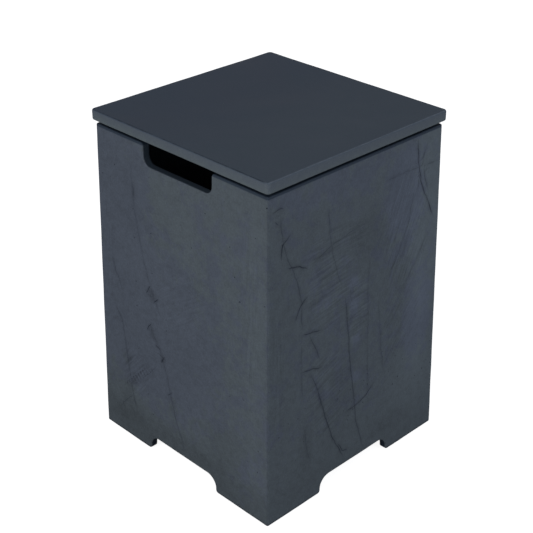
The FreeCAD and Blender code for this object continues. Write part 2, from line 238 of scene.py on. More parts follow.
# Creases: how far from an end they fade, how far out they reach, how far apart they show, how far
# they wander, how wide the thin and thick ones are to one side, and how far their shadow goes and
# how dark it is beside them.
CREASE_FADE = 0.03
CREASE_REACH = 0.014
CREASE_APART = 0.006
CREASE_WANDER = 0.0025
CREASE_THIN = 0.0010
CREASE_THICK = 0.0024
CREASE_SHADOW = 0.0065
CREASE_SHADOW_DARKNESS = 0.3

# Bands of the walls: where each starts to show, then where it shows in full. Stains and the painted shade
# on the raw faces go by the height above the floor, a dark line by the distance to an upright arris, and
# the painted shadow under the table top by the depth below the rim. Painted shade also goes a little way
# up the foot, and the border of the raw faces strays.
STAIN_HEIGHT = (0.15, 0.06)
RAW_SHADE_HEIGHT = (0.20, 0.06)
ARRIS_DARK_LINE = (0.0035, 0.0015)
RIM_SHADOW_DEPTH = (0.0055, 0.0035)
FOOT_SHADE = 0.006
RAW_STRAY = 0.002

# How far the mottle and the grit stand out, and how far creases and pinholes sink in.
SWELL_HEIGHT = 0.00009
GRIT_HEIGHT = 0.00005
CREASE_DEPTH = 0.0005
PINHOLE_DEPTH = 0.0006

# What the film left on a wall, and painted shade low on it, in millimetres across the wall from its middle
# and up from the floor.
# A crease, or a nick across it, is how strongly it shows and its path. A brushed patch is its
# strength, its middle, its reach across and up, and the turn of its strokes in degrees. A tone is
# how much paler a soft patch is (darker, below 0), how much greyer (bluer, below 0), its middle and
# its reach across and up.
FRONT_MARKS = {
    "creases": [
        (0.35, [(-114, 556), (-110, 500), (-107, 468), (-97, 425), (-87, 380), (-74, 345), (-66, 325),
                (-52, 300), (-42, 282)]),
        (0.45, [(-78, 268), (-71, 250), (-60, 238), (-45, 210), (-38, 185), (-27, 146), (-17, 105),
                (0, 66), (8, 35)]),
        (0.55, [(-175, 368), (-166, 338), (-153, 316), (-146, 298)]),
        (0.50, [(-178, 275), (-167, 262), (-152, 240), (-147, 200), (-142, 165), (-133, 110), (-122, 60)]),
    ],
    "nicks": [
        (0.60, [(-84, 182), (-108, 156), (-140, 124), (-160, 100)]),
        (0.50, [(-60, 192), (-84, 164), (-110, 138), (-141, 108)]),
        (0.40, [(-128, 100), (-152, 76), (-172, 52)]),
        (1.00, [(-86, 322), (-72, 344)]),
        (1.00, [(-66, 312), (-52, 325)]),
        (1.00, [(-86, 250), (-73, 270)]),
        (0.95, [(-67, 230), (-48, 226)]),
        (1.00, [(-50, 201), (-41, 217)]),
        (0.80, [(-37, 141), (-23, 155)]),
        (0.60, [(-108, 522), (-109, 486)]),
    ],
    "strokes": [
        (0.16, (-120, 150), (50, 60), 48),
        (0.07, (10, 345), (75, 85), 35),
        (0.08, (165, 380), (30, 190), 90),
        (0.07, (-178, 380), (14, 150), 88),
    ],
    "tones": [
        (-0.03, -1.0, (-190, 430), (110, 260)),
        (-0.02, -1.0, (-40, 230), (130, 150)),
        (0.01, 0.8, (-20, 510), (50, 50)),
        (0.04, 0.5, (18, 448), (26, 44)),
        (0.00, 0.8, (90, 575), (150, 32)),
        (0.03, 0.2, (150, 380), (60, 230)),
        (0.04, 0.4, (180, 330), (16, 240)),
        (-0.03, 0.0, (60, 250), (80, 60)),
        (-0.26, 0.5, (-70, 325), (7, 11)),
        (-0.26, 0.5, (-71, 250), (7, 11)),
        (-0.22, 0.5, (-46, 210), (6, 8)),
        (-0.12, 0.0, (-108, 498), (5, 10)),
        (-0.14, 0.6, (-142, 172), (13, 16)),
        (-0.10, 0.3, (-22, 118), (10, 22)),
        (-0.10, 0.3, (110, 110), (45, 40)),
        # These two tones darken the foot of the wall: painted shade.
        (-0.12, 0.5, (-165, 80), (60, 55)),
        (-0.22, 0.1, (0, 30), (260, 46)),
        (0.06, -0.8, (175, 60), (60, 50)),
    ],
}
RIGHT_MARKS = {
    "creases": [
        (0.50, [(-176, 566), (-170, 515), (-160, 478), (-147, 455), (-138, 425), (-130, 392), (-131, 360),
                (-126, 335)]),
        (0.60, [(-116, 333), (-100, 300), (-93, 284), (-88, 268)]),
        (0.75, [(-114, 263), (-97, 227), (-84, 185), (-71, 144), (-57, 103), (-40, 72), (-24, 40)]),
        (0.65, [(-32, 372), (-27, 340), (-21, 290), (-15, 227), (-5, 165), (2, 110), (14, 72), (24, 38)]),
        (0.35, [(-74, 552), (-68, 490), (-60, 450), (-50, 415), (-34, 380)]),
        (0.90, [(138, 592), (141, 548), (150, 510), (163, 480), (176, 455), (190, 425)]),
        (0.30, [(28, 420), (24, 370), (27, 300), (29, 200), (34, 120)]),
        (0.30, [(52, 330), (60, 250), (72, 168)]),
        (0.35, [(136, 509), (122, 440), (98, 391), (62, 350)]),
        (0.35, [(-132, 330), (-130, 240), (-127, 205)]),
        (0.45, [(-126, 160), (-120, 120), (-111, 78)]),
    ],
    "nicks": [
        (1.00, [(-174, 480), (-172, 508), (-152, 520)]),
        (1.00, [(-164, 466), (-136, 459), (-114, 446)]),
        (1.00, [(-146, 364), (-134, 388), (-116, 402)]),
        (0.90, [(-132, 335), (-108, 331), (-84, 325)]),
        (0.90, [(-134, 267), (-108, 263), (-82, 256)]),
        (0.85, [(-30, 140), (0, 141), (25, 148), (52, 168)]),
        (0.35, [(66, 182), (88, 208), (112, 236)]),
        (0.70, [(-190, 566), (-176, 569), (-168, 566)]),
        (0.65, [(-186, 552), (-178, 541)]),
        (0.55, [(166, 580), (152, 548), (160, 512), (174, 476)]),
        (0.40, [(50, 536), (111, 537), (202, 532)]),
        (0.40, [(-110, 452), (-60, 470), (15, 482)]),
        (0.35, [(181, 417), (136, 350), (92, 290), (66, 247)]),
        (0.80, [(-46, 88), (-30, 62), (-14, 58)]),
    ],
    "strokes": [
        (0.17, (-62, 395), (66, 90), 8),
        (0.17, (2, 330), (34, 80), 6),
        (0.13, (118, 430), (80, 150), 66),
        (0.11, (120, 270), (75, 110), 50),
        (0.10, (-184, 290), (18, 130), 91),
        (0.12, (-70, 200), (60, 110), 20),
        (0.12, (-50, 470), (90, 40), 3),
    ],
    "tones": [
        (0.00, 0.35, (0, 300), (400, 600)),
        (0.06, -0.6, (-40, 568), (180, 30)),
        (0.15, -1.0, (112, 490), (46, 90)),
        (0.18, -1.2, (155, 240), (34, 100)),
        (0.24, 0.3, (176, 440), (50, 190)),
        (0.09, 0.9, (150, 140), (60, 60)),
        (0.22, -1.0, (-10, 385), (13, 10)),
        (0.14, -0.5, (-68, 372), (34, 9)),
        (0.24, -1.0, (-8, 340), (11, 17)),
        (0.28, -1.0, (-3, 275), (11, 8)),
        (0.28, -1.0, (-2, 200), (12, 9)),
        (0.08, -0.3, (-105, 418), (11, 24)),
        (0.12, -0.3, (-72, 205), (9, 20)),
        (-0.12, 0.2, (25, 455), (40, 45)),
        (-0.08, 0.0, (-70, 463), (85, 6)),
        (-0.03, 0.3, (-172, 330), (26, 200)),
        (-0.09, 0.0, (-50, 170), (50, 70)),
        (-0.12, 0.0, (-122, 120), (14, 50)),
        # These three tones darken the foot of the wall: painted shade.
        (-0.04, 0.0, (-60, 70), (150, 40)),
        (-0.08, 0.0, (95, 62), (40, 20)),
        (-0.06, -0.2, (0, 30), (260, 30)),
    ],
}
WALLS = [
    # axis across the wall, axis out of the wall, its sign, what the film left and the painted shade
    (0, 1, -1, FRONT_MARKS),
    (1, 0, 1, RIGHT_MARKS),
    (0, 1, 1, FRONT_MARKS),
    (1, 0, -1, RIGHT_MARKS),
]
MM_PER_METRE = 1000

# The marks that are lines, and the distance to one where none is near.
LINES = ("creases", "nicks")
FAR = 1.0

shell_low, shell_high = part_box("cover_body")
base_half = shell_high.x
rim_half = base_half - FLARE
shell_floor = shell_low.z
shell_rim = shell_high.z


def arc(centre, radius, start, end, steps=ARC_STEPS):
    """Points on an arc between two angles in degrees."""
    turns = [math.radians(start + (end - start) * step / steps) for step in range(steps + 1)]
    return [(centre[0] + radius * math.cos(turn), centre[1] + radius * math.sin(turn)) for turn in turns]


def rounded_square(half, radius):
    """The outline of a square with rounded corners, counterclockwise."""
    middle = half - radius
    points = []
    for side_x, side_y, start in ((1, -1, -90), (1, 1, 0), (-1, 1, 90), (-1, -1, 180)):
        points += arc((side_x * middle, side_y * middle), radius, start, start + 90)
    return points


def opening_outline(width, depth, corner, lip):
    """An opening that runs up from level 0, with rounded lips and hollow corners. It is drawn out
    below level 0, so that it cuts cleanly."""
    half = width / 2
    right = [(half + lip, -CUTTER_OVERLAP), (half + lip, 0)]
    right += arc((half + lip, lip), lip, 270, 180)
    right += arc((half - corner, depth - corner), corner, 0, 90)
    left = [(-across, up) for across, up in reversed(right)]
    return right + left


def solid_object(name, rings):
    """A closed solid through rings of as many points each, as a scratch object."""
    mesh = bmesh.new()
    corners = [[mesh.verts.new(point) for point in ring] for ring in rings]
    for below, above in zip(corners, corners[1:]):
        for index in range(len(below)):
            after = (index + 1) % len(below)
            mesh.faces.new((below[index], below[after], above[after], above[index]))
    mesh.faces.new(list(reversed(corners[0])))
    mesh.faces.new(corners[-1])
    bmesh.ops.recalc_face_normals(mesh, faces=mesh.faces)
    data = bpy.data.meshes.new(name)
    mesh.to_mesh(data)
    mesh.free()
    return add_piece(name, data)


def frustum(name, half_below, half_above, low, high, radius):
    """A square tower with rounded upright corners. Its sides lean in from low to high."""
    return solid_object(name, [
        [(x, y, level) for x, y in rounded_square(half, radius)]
        for half, level in ((half_below, low), (half_above, high))])


def cut_away(target, cutters):
    """Takes the cutters out of the target and gives what is left as a plain mesh."""
    for cutter in cutters:
        cut = target.modifiers.new(cutter.name, "BOOLEAN")
        cut.operation = "DIFFERENCE"
        cut.solver = "EXACT"
        cut.object = cutter
    graph = bpy.context.evaluated_depsgraph_get()
    left = bpy.data.meshes.new_from_object(target.evaluated_get(graph))
    for scratch in [target] + cutters:
        data = scratch.data
        bpy.data.objects.remove(scratch)
        bpy.data.meshes.remove(data)
    return left


def ease_edges(mesh, radius):
    """Rounds every edge where two faces meet sharply."""
    bmesh.ops.remove_doubles(mesh, verts=mesh.verts, dist=MERGE_DISTANCE)
    bmesh.ops.dissolve_limit(mesh, angle_limit=math.radians(FLAT_TURN), verts=mesh.verts,
                             edges=mesh.edges)
    sharp = [e for e in mesh.edges if len(e.link_faces) == 2
             and e.calc_face_angle() > math.radians(SHARP_TURN)]
    bmesh.ops.bevel(mesh, geom=sharp, offset=radius, offset_type="OFFSET", segments=EASE_STEPS,
                    profile=0.5, affect="EDGES", clamp_overlap=True)


def cut_at(mesh, faces, axis, levels):
    """Cuts the faces along planes at these levels: first at the middle one, then each half."""
    if not levels or not faces:
        return
    middle = levels[len(levels) // 2]
    normal = Vector([float(index == axis) for index in range(3)])
    crossing = []
    apart = []
    for face in faces:
        reach = [vertex.co[axis] for vertex in face.verts]
        (crossing if min(reach) < middle < max(reach) else apart).append(face)
    geometry = list(crossing)
    for face in crossing:
        geometry += list(face.verts) + list(face.edges)
    cut = bmesh.ops.bisect_plane(mesh, geom=list(dict.fromkeys(geometry)), dist=MERGE_DISTANCE,
                                 plane_co=normal * middle, plane_no=normal)
    apart += [thing for thing in cut["geom"] if isinstance(thing, bmesh.types.BMFace)]
    below = [face for face in apart if face.calc_center_median()[axis] < middle]
    above = [face for face in apart if face.calc_center_median()[axis] >= middle]
    cut_at(mesh, below, axis, [level for level in levels if level < middle])
    cut_at(mesh, above, axis, [level for level in levels if level > middle])


def cut_into_grid(mesh):
    """Cuts the faces along evenly spaced planes, so that they can be made uneven."""
    for axis in range(3):
        places = [vertex.co[axis] for vertex in mesh.verts]
        low, high = min(places), max(places)
        count = int((high - low) / GRID)
        levels = [low + (high - low) * step / count for step in range(1, count)]
        cut_at(mesh, list(mesh.faces), axis, levels)


def make_shell_mesh():
    """The four walls with their notches and cut-outs, and with sharp edges there."""
    lean = FLARE / (shell_rim - shell_floor) * CUTTER_OVERLAP
    outside = frustum("shell_outside", base_half, rim_half, shell_floor, shell_rim, ARRIS_RADIUS)
    cutters = [frustum("shell_inside", base_half - WALL + lean, rim_half - WALL - lean,
                       shell_floor - CUTTER_OVERLAP, shell_rim + CUTTER_OVERLAP, INNER_CORNER_RADIUS)]
    ends = (-base_half - CUTTER_OVERLAP, base_half + CUTTER_OVERLAP)
    cutout = opening_outline(**CUTOUT)
    notch = opening_outline(**NOTCH)
    cutters.append(solid_object("hose_cutout_along", [
        [(x, end, shell_floor + up) for x, up in cutout] for end in ends]))
    cutters.append(solid_object("hose_cutout_across", [
        [(end, y, shell_floor + up) for y, up in cutout] for end in ends]))
    cutters.append(solid_object("hand_notch", [
        [(x, end, shell_rim - down) for x, down in notch] for end in ends]))
    return cut_away(outside, cutters)


def rough_cast(data, radius_of_edges, low, high):
    """Eases the edges of a cast piece, cuts its faces into a grid and makes them slightly uneven,
    always inwards, so that it stays inside the box from low to high."""
    mesh = bmesh.new()
    mesh.from_mesh(data)
    if radius_of_edges:
        ease_edges(mesh, radius_of_edges)
    cut_into_grid(mesh)
    bmesh.ops.triangulate(mesh, faces=[face for face in mesh.faces if len(face.verts) > 4])
    bmesh.ops.recalc_face_normals(mesh, faces=mesh.faces)
    mesh.normal_update()
    wear = []
    places = []
    noise.seed_set(UNEVEN_SEED)
    for vertex in mesh.verts:
        wear.append(float(any(len(e.link_faces) == 2 and e.calc_face_angle() > math.radians(WORN_TURN)
                              for e in vertex.link_edges)))
        swell = noise.noise(vertex.co / UNEVEN_LENGTH)
        ripple = noise.noise(vertex.co / UNEVEN_LENGTH * RIPPLES_PER_SWELL + RIPPLE_SHIFT)
        sink = UNEVEN_DEPTH * (0.5 + 0.5 * swell + RIPPLE_SHARE * ripple)
        drift = noise.noise_vector(vertex.co / EDGE_DRIFT_LENGTH) * EDGE_DRIFT
        place = vertex.co - vertex.normal * sink + drift
        places.append([min(max(place[axis], low[axis]), high[axis]) for axis in range(3)])
    for vertex, place in zip(mesh.verts, places):
        vertex.co = place
    mesh.to_mesh(data)
    mesh.free()
    write_attribute(data, "edge_wear", np.array(wear))
    data.shade_smooth()


def keep_flat_shading(piece):
    """Weights the normals by area, so that flat faces look flat beside rounded edges."""
    weighted = piece.modifiers.new("flat_faces", "WEIGHTED_NORMAL")
    weighted.keep_sharp = False
    graph = bpy.context.evaluated_depsgraph_get()
    final = bpy.data.meshes.new_from_object(piece.evaluated_get(graph))
    final.name = piece.name
    piece.modifiers.remove(weighted)
    piece.data = final


def outer_half(level):
    """Half the width of the shell's outside at a level above the floor."""
    return base_half - FLARE * (level - shell_floor) / (shell_rim - shell_floor)


def smooth_step(share):
    """Runs from 0 to 1 with a soft start and end, and stays at 0 or 1 beyond."""
    share = np.clip(share, 0, 1)
    return share * share * (3 - 2 * share)


def one_crease(points, shown, path):
    """For each point on a wall, the signed distance in metres to a crease and how strongly it
    shows there."""
    distance = np.full(len(points), FAR)
    strength = np.zeros(len(points))
    path = np.array(path, float) / MM_PER_METRE
    steps = np.linalg.norm(np.diff(path, axis=0), axis=1)
    length = steps.sum()
    travelled = 0.0
    for start, end, step in zip(path[:-1], path[1:], steps):
        along = (end - start) / step
        offset = points - start
        reach = offset @ along
        held = np.clip(reach, 0, step)
        away = np.linalg.norm(offset - held[:, None] * along, axis=1)
        side = np.where(offset[:, 0] * along[1] - offset[:, 1] * along[0] >= 0, 1.0, -1.0)
        from_end = np.minimum(travelled + reach, length - travelled - reach)
        here = shown * smooth_step(from_end / min(CREASE_FADE, length / 4))
        here *= smooth_step(2 - 2 * away / CREASE_REACH)
        closer = away < np.abs(distance)
        distance[closer] = (away * side)[closer]
        strength[closer] = here[closer]
        travelled += step
    return distance, strength


def crease_fields(points, creases):
    """The same for the nearest crease. Midway between two creases neither shows, because there the
    distance changes sign."""
    nearest = np.full(len(points), FAR)
    second = np.full(len(points), FAR)
    strength = np.zeros(len(points))
    for shown, path in creases:
        distance, here = one_crease(points, shown, path)
        away = np.abs(distance)
        closer = away < np.abs(nearest)
        second = np.where(closer, np.abs(nearest), np.minimum(second, away))
        nearest[closer] = distance[closer]
        strength[closer] = here[closer]
    return nearest, strength * smooth_step((second - np.abs(nearest)) / CREASE_APART)


def share_out(points, middle, reach):
    """How far each point is out from the middle of a patch, as a share of its reach."""
    offset = points - np.array(middle) / MM_PER_METRE
    return np.linalg.norm(offset / (np.array(reach) / MM_PER_METRE), axis=1)


def stroke_fields(points, patches):
    """For each point on a wall, its place along and across the strokes of the strongest brushed
    patch there, and how strong that patch is."""
    places = np.zeros((len(points), 3))
    strength = np.zeros(len(points))
    for shown, middle, reach, turn in patches:
        here = shown * smooth_step(2 - 2 * share_out(points, middle, reach))
        stronger = here > strength
        along = np.array([math.cos(math.radians(turn)), math.sin(math.radians(turn))])
        across = np.array([-along[1], along[0]])
        offset = points - np.array(middle) / MM_PER_METRE
        places[stronger, 0] = (offset @ along)[stronger]
        places[stronger, 1] = (offset @ across)[stronger]
        strength[stronger] = here[stronger]
    return places, strength


def tone_fields(points, tones):
    """How much paler and how much greyer each point on a wall is."""
    paler = np.zeros(len(points))
    greyer = np.zeros(len(points))
    for pale, grey, middle, reach in tones:
        here = smooth_step(1.5 - share_out(points, middle, reach))
        paler += pale * here
        greyer += grey * here
    return paler, greyer


def write_attribute(data, name, values):
    """Writes a number, or a place, for each point of the mesh."""
    kind, field = ("FLOAT", "value") if values.ndim == 1 else ("FLOAT_VECTOR", "vector")
    data.attributes.new(name, kind, "POINT").data.foreach_set(field, values.ravel())


def mark_walls(data):
    """Writes to the shell's mesh what the film left on each wall and the shade painted low on it, how far
    each point lies behind the outer faces, and how far it is from the nearest upright arris."""
    count = len(data.vertices)
    places = np.empty(count * 3)
    data.vertices.foreach_get("co", places)
    places = places.reshape(-1, 3)
    half = outer_half(places[:, 2])
    fields = {kind + "_distance": np.full(count, FAR) for kind in LINES}
    for across, out, out_sign, marks in WALLS:
        on_wall = places[:, out] * out_sign > half - 2 * UNEVEN_DEPTH - EDGE_DRIFT
        flat = places[on_wall][:, (across, 2)]
        found = {}
        for kind in LINES:
            found[kind + "_distance"], found[kind + "_strength"] = crease_fields(flat, marks[kind])
        found["stroke_place"], found["stroke_strength"] = stroke_fields(flat, marks["strokes"])
        found["paler"], found["greyer"] = tone_fields(flat, marks["tones"])
        for name, values in found.items():
            whole = fields.setdefault(name, np.zeros((count,) + values.shape[1:]))
            whole[on_wall] = values
    reach = np.abs(places[:, :2])
    fields["behind"] = half - reach.max(axis=1)
    fields["from_arris"] = half - reach.min(axis=1)
    for name, values in fields.items():
        write_attribute(data, name, values)


def per_metre(millimetres):
    """A texture scale that repeats its pattern about every so many millimetres."""
    return MM_PER_METRE / millimetres


def finish_material(tree, surface_inputs, relief=None):
    """Ends a material with its surface, whose relief is in metres, and the output."""
    if relief is not None:
        bump = add_node(tree, "ShaderNodeBump", [("Height", relief), ("Distance", 1.0)])
        surface_inputs = surface_inputs + [("Normal", bump)]
    surface = add_node(tree, "ShaderNodeBsdfPrincipled", surface_inputs)
    add_node(tree, "ShaderNodeOutputMaterial", [("Surface", surface)])


def add_wall_level(tree, pattern, mark, grit_level):
    """How bright each place of a wall is: soft patches, brush strokes, blotches and grit."""
    stroke_place = add_node(tree, "ShaderNodeAttribute", attribute_name="stroke_place")
    stretched = add_node(tree, "ShaderNodeMapping", [
        ("Vector", stroke_place.outputs["Vector"]),
        ("Scale", (per_metre(STROKE_LENGTH_MM), per_metre(STROKE_WIDTH_MM), 1.0))])
    strokes = add_node(tree, "ShaderNodeTexNoise", [
        ("Vector", stretched), ("Scale", 1.0), ("Detail", 3.0), ("Distortion", 0.5)])
    stroke_level = add_node(tree, "ShaderNodeMapRange", [
        ("Value", strokes), ("From Min", 0.36), ("From Max", 0.64), ("To Min", -1.0)])
    patch_level = add_node(tree, "ShaderNodeMath", [
        (0, stroke_level), (1, mark["stroke_strength"]), (2, mark["paler"])],
        operation="MULTIPLY_ADD")
    blotch = add_node(tree, "ShaderNodeMapRange", [
        ("Value", pattern["mottle"]), ("From Min", 0.34), ("From Max", 0.58),
        ("To Min", -0.12), ("To Max", 0.06)])
    blotchy = add_node(tree, "ShaderNodeMath", [(0, patch_level), (1, blotch)], operation="ADD")
    return add_node(tree, "ShaderNodeMath", [(0, blotchy), (1, grit_level)], operation="ADD")


def add_creases(tree, pattern, mark):
    """How strongly creases of the film and nicks across them show: fine dark lines that wander and
    change in width, each in a faint shadow."""
    wander_by = add_node(tree, "ShaderNodeMapRange", [
        ("Value", pattern["wander"]), ("To Min", -CREASE_WANDER), ("To Max", CREASE_WANDER)])
    line_width = add_node(tree, "ShaderNodeMapRange", [
        ("Value", pattern["broken"]), ("From Min", 0.35), ("From Max", 0.65),
        ("To Min", CREASE_THIN), ("To Max", CREASE_THICK)])
    shown = []
    for kind in LINES:
        wandering = add_node(tree, "ShaderNodeMath", [
            (0, mark[kind + "_distance"]), (1, wander_by)], operation="ADD")
        away = add_node(tree, "ShaderNodeMath", [(0, wandering)], operation="ABSOLUTE")
        line, halo = [
            add_node(tree, "ShaderNodeMapRange", [
                ("Value", away), ("From Max", reach), ("To Min", darkness), ("To Max", 0.0)],
                interpolation_type="SMOOTHSTEP")
            for reach, darkness in ((line_width, 1.0), (CREASE_SHADOW, CREASE_SHADOW_DARKNESS))]
        either = add_node(tree, "ShaderNodeMath", [(0, line), (1, halo)], operation="MAXIMUM")
        shown.append(add_node(tree, "ShaderNodeMath", [
            (0, either), (1, mark[kind + "_strength"])], operation="MULTIPLY"))
    return add_node(tree, "ShaderNodeMath", enumerate(shown), operation="MAXIMUM")


def add_dots(tree, place, spacing, empty, largest):
    """Dots in a few of the cells of a foam: where they are, and a random share for each cell. The
    spacing is in millimetres, empty is the share of the cells without a dot, and largest is the
    greatest radius as a share of the spacing."""
    foam = add_node(tree, "ShaderNodeTexVoronoi", [("Vector", place), ("Scale", per_metre(spacing))])
    cell = add_node(tree, "ShaderNodeSeparateColor", [(0, foam.outputs["Color"])])
    radius = add_node(tree, "ShaderNodeMapRange", [
        ("Value", cell), ("From Min", empty), ("From Max", 1.0), ("To Max", largest)])
    dot = add_node(tree, "ShaderNodeMath", [(0, foam), (1, radius)], operation="LESS_THAN")
    return dot, cell.outputs[1]


def add_arris_line_and_foot_shade(tree, height, mark):
    """How dark the line along each upright arris is, and the painted shade along the foot of the walls."""
    arris_dark_line = add_node(tree, "ShaderNodeMapRange", [
        ("Value", mark["from_arris"]), ("From Min", ARRIS_DARK_LINE[0]), ("From Max", ARRIS_DARK_LINE[1]),
        ("To Max", 0.22)])
    # Painted shade along the foot of the walls, in the last few millimetres above the floor.
    foot_shade_share = add_node(tree, "ShaderNodeMapRange", [
        ("Value", height), ("From Min", shell_floor + FOOT_SHADE), ("From Max", shell_floor),
        ("To Max", 0.85)])
    return add_node(tree, "ShaderNodeMath", [(0, arris_dark_line), (1, foot_shade_share)],
                    operation="MAXIMUM")


def add_raw_faces_and_shade(tree, height, pattern, mark, grit_level):
    """The colour of the raw faces behind the skin and on the rim, and where they are. Their darker colour
    is partly raw concrete and partly painted shade. They turn darkest towards the foot, which is painted
    shade, and a band just below the top of the rim, on the outer faces too, is painted shadow under the
    table top. Their border is ragged."""
    # Painted shade: the raw faces darken towards the foot.
    low = add_node(tree, "ShaderNodeMapRange", [
        ("Value", height), ("From Min", RAW_SHADE_HEIGHT[0]), ("From Max", RAW_SHADE_HEIGHT[1])])
    # Painted shadow under the table top: the top few millimetres of the walls turn dark.
    rim = add_node(tree, "ShaderNodeMapRange", [
        ("Value", height), ("From Min", shell_rim - RIM_SHADOW_DEPTH[0]), ("From Max", shell_rim - RIM_SHADOW_DEPTH[1]),
        ("To Max", 0.9)])
    darkness = add_node(tree, "ShaderNodeMath", [(0, low), (1, rim)], operation="MAXIMUM")
    face = add_node(tree, "ShaderNodeMix", [
        ("Factor", darkness), ("A", RAW_FACE_AND_SHADE), ("B", DEEP_SHADE)], data_type="RGBA")
    grainy = add_node(tree, "ShaderNodeMix", [("Factor", 1.0), ("A", face), ("B", grit_level)],
                      data_type="RGBA", blend_type="MULTIPLY")
    ragged = add_node(tree, "ShaderNodeMath", [
        (0, pattern["mottle"]), (1, RAW_STRAY), (2, mark["behind"])], operation="MULTIPLY_ADD")
    behind = add_node(tree, "ShaderNodeMapRange", [
        ("Value", ragged), ("From Min", EDGE_EASE), ("From Max", 1.5 * EDGE_EASE)])
    return grainy, add_node(tree, "ShaderNodeMath", [(0, behind), (1, rim)], operation="MAXIMUM")


def make_film_cast_concrete():
    """Fine concrete with its colour in the mix, cast against a film: matt, clouded and creased. Shade is
    also painted into its colour.
    """
    material, tree = start_material("film_cast_concrete")
    place = add_node(tree, "ShaderNodeTexCoord").outputs["Object"]
    height = add_node(tree, "ShaderNodeSeparateXYZ", [(0, place)]).outputs["Z"]
    pattern = {
        name: add_node(tree, "ShaderNodeTexNoise", [
            ("Vector", place), ("Scale", per_metre(size)), ("Detail", detail),
            ("Roughness", roughness), ("Distortion", warp)])
        for name, (size, detail, roughness, warp) in WALL_PATTERNS.items()}
    mark = {
        name: add_node(tree, "ShaderNodeAttribute", attribute_name=name).outputs["Fac"]
        for name in ("creases_distance", "creases_strength", "nicks_distance", "nicks_strength",
                     "stroke_strength", "paler", "greyer", "edge_wear", "from_arris", "behind")}
    cloud_share = add_node(tree, "ShaderNodeMapRange", [
        ("Value", pattern["clouds"]), ("From Min", 0.36), ("From Max", 0.66)])
    grit_level = add_node(tree, "ShaderNodeMapRange", [
        ("Value", pattern["grit"]), ("From Min", 0.3), ("From Max", 0.7),
        ("To Min", 0.88), ("To Max", 1.12)])

    # Ragged islands of a plainer grey lie in the cloudy blue-grey, and thicken at the foot.
    low_share = add_node(tree, "ShaderNodeMapRange", [
        ("Value", height), ("From Min", STAIN_HEIGHT[0]), ("From Max", STAIN_HEIGHT[1]),
        ("To Max", 0.14)])
    thick = add_node(tree, "ShaderNodeMath", [(0, mark["greyer"]), (1, 0.13), (2, low_share)],
                     operation="MULTIPLY_ADD")
    island = add_node(tree, "ShaderNodeMath", [(0, pattern["islands"]), (1, thick)],
                      operation="ADD")
    island_share = add_node(tree, "ShaderNodeMapRange", [
        ("Value", island), ("From Min", 0.46), ("From Max", 0.56)])

    # Rubbed edges are a little paler, in patches.
    rub = add_node(tree, "ShaderNodeMath", [(0, mark["edge_wear"]), (1, pattern["mottle"])],
                   operation="MULTIPLY")
    rub_share = add_node(tree, "ShaderNodeMapRange", [
        ("Value", rub), ("From Min", 0.36), ("From Max", 0.62), ("To Max", 0.4)])

    crease = add_creases(tree, pattern, mark)
    # Pinholes are painted dark: painted shade in the holes.
    pinhole = add_dots(tree, place, PINHOLE_SPACING_MM, empty=0.72, largest=0.11)[0]
    # Raw faces: partly raw concrete and partly painted shade, with painted shadow along the top of the
    # walls.
    raw_colour_and_shade, raw_and_shadow_share = add_raw_faces_and_shade(tree, height, pattern, mark, grit_level)
    colour = SLATE
    for over, share, blend in (
            (SLATE_CLOUD, cloud_share, "MIX"),
            (SLATE_GREY, island_share, "MIX"),
            (add_wall_level(tree, pattern, mark, grit_level), 1.0, "MULTIPLY"),
            (DARK_MARK_AND_SHADE, crease, "MIX"),
            (DARK_MARK_AND_SHADE, pinhole, "MIX"),
            (RUBBED_EDGE, rub_share, "MIX"),
            # Dark lines along the upright arrises, and painted shade along the foot.
            (DARK_MARK_AND_SHADE, add_arris_line_and_foot_shade(tree, height, mark), "MIX"),
            (raw_colour_and_shade, raw_and_shadow_share, "MIX")):
        colour = add_node(tree, "ShaderNodeMix", [("Factor", share), ("A", colour), ("B", over)],
                          data_type="RGBA", blend_type=blend)
    relief = 0.0
    for shape, rise in ((pattern["mottle"], SWELL_HEIGHT), (pattern["grit"], GRIT_HEIGHT),
                        (crease, -CREASE_DEPTH), (pinhole, -PINHOLE_DEPTH)):
        relief = add_node(tree, "ShaderNodeMath", [(0, shape), (1, rise), (2, relief)],
                          operation="MULTIPLY_ADD")
    dullness = add_node(tree, "ShaderNodeMapRange", [
        ("Value", pattern["mottle"]), ("From Min", 0.3), ("From Max", 0.7),
        ("To Min", 0.58), ("To Max", 0.74)])
    finish_material(tree, [
        ("Base Color", colour), ("Roughness", dullness), ("Specular IOR Level", 0.2)], relief)
    return material


shell_mesh = make_shell_mesh()
rough_cast(shell_mesh, EDGE_EASE, shell_low, shell_high)
mark_walls(shell_mesh)
shell = add_piece("cast_cover_body", shell_mesh)
keep_flat_shading(shell)
shell.data.materials.append(make_film_cast_concrete())
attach(shell, "cover")
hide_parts("cover_body")


# Table top
# A loose square slab, 19 mm thick, of the same concrete. Its face was trowelled and sealed, so it is
# smoother and a shade darker than the walls. Eight brass inserts are cast into its underside.
TOP_CORNER_RADIUS = 0.007
TOP_EDGE_EASE = 0.003
INSERT_RADIUS = 0.004
INSERT_LENGTH = 0.012
FIT_PLAY = 0.00005
SOCKET_SIDES = 32
SCREW_END_DISTANCE = 0.011

SLATE_TOP = "#3B4553"
SLATE_TOP_CLOUD = "#3E4957"
SLATE_TOP_WORN = "#424D58"
SLATE_RIM = "#49515A"
SLATE_RIM_PALE = "#515A5E"
# The next colour is a dark line along the top's upper edge.
DARK_EDGE_LINE = "#262E38"
SPECK_DARK = "#303741"
SPECK_PALE = "#5A6470"

# Patterns of the top: size in millimetres, detail, roughness and how far each is warped.
TOP_PATTERNS = {
    "clouds": (150, 4, 0.5, 0.6),
    "mottle": (9, 6, 0.7, 0),
    "grit": (1.8, 2, 0.5, 0),
}
SPECK_SPACING_MM = 7

